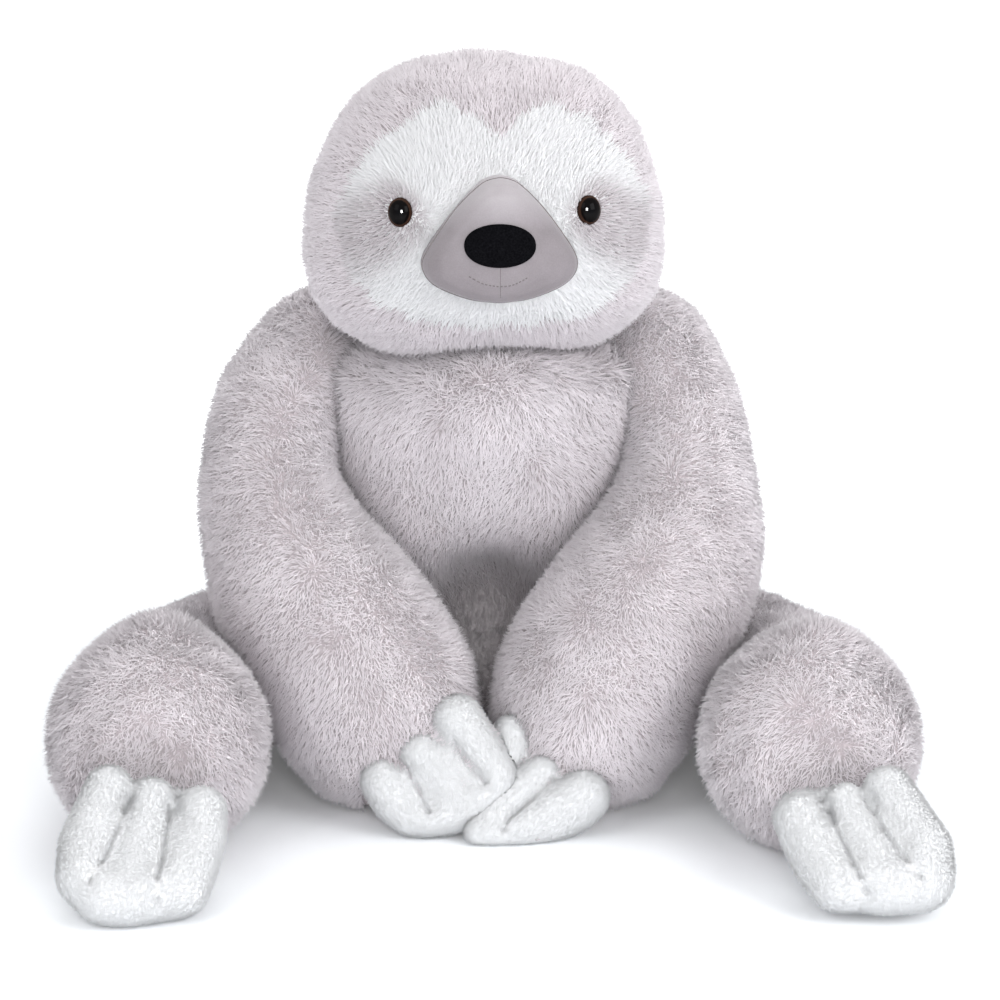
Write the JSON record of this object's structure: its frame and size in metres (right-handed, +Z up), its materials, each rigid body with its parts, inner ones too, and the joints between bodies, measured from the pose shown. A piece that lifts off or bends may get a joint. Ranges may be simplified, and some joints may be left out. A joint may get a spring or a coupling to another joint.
{
  "type": "plush sloth",
  "caption": "Seated plush sloth with a white face, padded muzzle, long arms that cross at the hands, and stitched mitt hands and feet.",
  "frame": {"origin": "middle of the flat seat under the body, on the floor", "axes": "+Z up, the face looks along -Y, +X towards the toy's own left side"},
  "size_m": [0.6622, 0.5894, 0.582],
  "materials": {
    "grey_fur": "matte",
    "white_fur": "matte",
    "patch_fur": "matte",
    "muzzle_velvet": "matte",
    "nose_velvet": "matte",
    "eye_gloss": "gloss",
    "washer_plastic": "matte",
    "fibre": "matte",
    "pellet_bag": "matte"
  },
  "bodies": {
    "body": {"body_cover": "grey_fur", "body_stuffing": "fibre", "seat_pellet_bag": "pellet_bag"},
    "neck": {"neck": "grey_fur"},
    "head": {"head_cover": "grey_fur", "head_stuffing": "fibre", "face_panel": "white_fur", "eye_patch_left": "patch_fur", "eye_patch_right": "patch_fur", "eye_left": "eye_gloss", "eye_right": "eye_gloss", "eye_washer_left": "washer_plastic", "eye_washer_right": "washer_plastic", "muzzle": "muzzle_velvet", "nose": "nose_velvet"},
    "arm_left": {"arm_cover_left": "grey_fur", "arm_stuffing_left": "fibre", "hand_left": "white_fur"},
    "arm_right": {"arm_cover_right": "grey_fur", "arm_stuffing_right": "fibre", "hand_right": "white_fur"},
    "leg_left": {"leg_cover_left": "grey_fur", "leg_stuffing_left": "fibre"},
    "leg_right": {"leg_cover_right": "grey_fur", "leg_stuffing_right": "fibre"},
    "foot_left": {"foot_left": "white_fur"},
    "foot_right": {"foot_right": "white_fur"}
  },
  "joints": [
    {"name": "neck_turn", "type": "hinge", "parent": "body", "child": "neck", "pos_m": [0, -0.05, 0.34], "axis": [0, 0, 1], "range_deg": [-15, 15]},
    {"name": "head_nod", "type": "hinge", "parent": "neck", "child": "head", "pos_m": [0, -0.05, 0.34], "axis": [0.9962, 0.0872, 0], "range_deg": [-8, 8]},
    {"name": "shoulder_left", "type": "hinge", "parent": "body", "child": "arm_left", "pos_m": [0.127, 0.005, 0.327], "axis": [-0.9919, -0.0401, 0.1202], "range_deg": [0, 40]},
    {"name": "shoulder_right", "type": "hinge", "parent": "body", "child": "arm_right", "pos_m": [-0.127, 0.005, 0.327], "axis": [-0.9919, 0.0401, -0.1202], "range_deg": [0, 40]},
    {"name": "hip_left", "type": "hinge", "parent": "body", "child": "leg_left", "pos_m": [0.148, 0.016, 0.0795], "axis": [0, 0, 1], "range_deg": [0, 30]},
    {"name": "hip_right", "type": "hinge", "parent": "body", "child": "leg_right", "pos_m": [-0.148, 0.016, 0.0795], "axis": [0, 0, -1], "range_deg": [0, 30]},
    {"name": "ankle_left", "type": "hinge", "parent": "leg_left", "child": "foot_left", "pos_m": [0.262, -0.338, 0.086], "axis": [-1, 0, 0], "range_deg": [0, 35]},
    {"name": "ankle_right", "type": "hinge", "parent": "leg_right", "child": "foot_right", "pos_m": [-0.243, -0.338, 0.086], "axis": [-1, 0, 0], "range_deg": [0, 35]}
  ]
}
